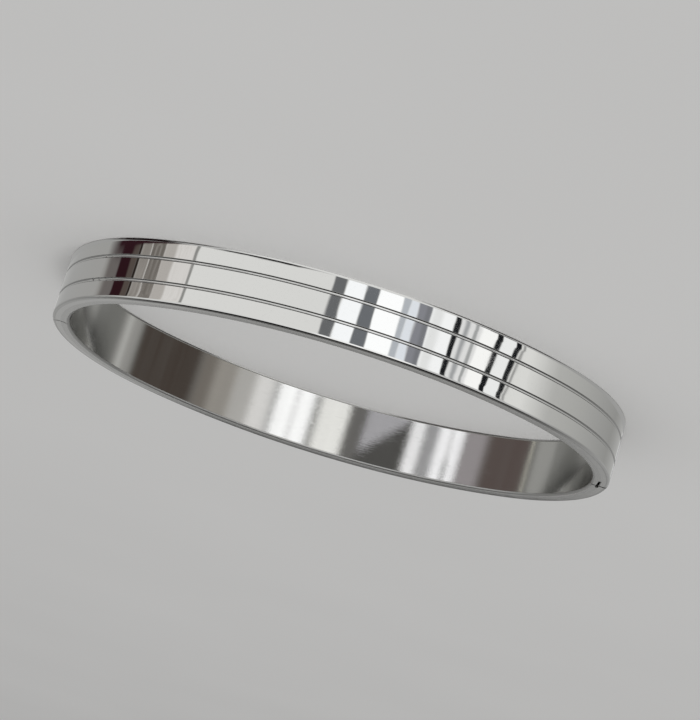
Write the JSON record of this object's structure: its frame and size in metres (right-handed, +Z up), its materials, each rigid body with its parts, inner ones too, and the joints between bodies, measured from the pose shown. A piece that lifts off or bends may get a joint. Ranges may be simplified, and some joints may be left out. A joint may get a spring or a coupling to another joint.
{
  "type": "openable oval kada bangle",
  "caption": "Oval openable kada bangle of polished steel: a flat band with engraved grooves all round, hinged at one end and closed by a tongue clasp at the other.",
  "frame": {"origin": "middle of the oval, on the plane that the lower rim rests on", "axes": "+X along the long way of the oval, towards the hinge; +Y across the oval, towards the half that carries the tongue; +Z up along the height of the band, towards the rim with the release slot"},
  "size_m": [0.065, 0.053, 0.007],
  "materials": {
    "polished_steel": "mirror polish outside, satin inside and on the rims",
    "pin_steel": "drawn wire",
    "spring_steel": "rolled spring strip"
  },
  "bodies": {
    "back": {"back_half": "polished_steel", "hinge_pin": "pin_steel", "clasp_tongue": "spring_steel"},
    "front": {"front_half": "polished_steel"}
  },
  "joints": [
    {"name": "hinge", "type": "hinge", "parent": "back", "child": "front", "pos_m": [0.0315, 0, 0], "axis": [0, 0, 1], "range_deg": [0, 50]}
  ]
}
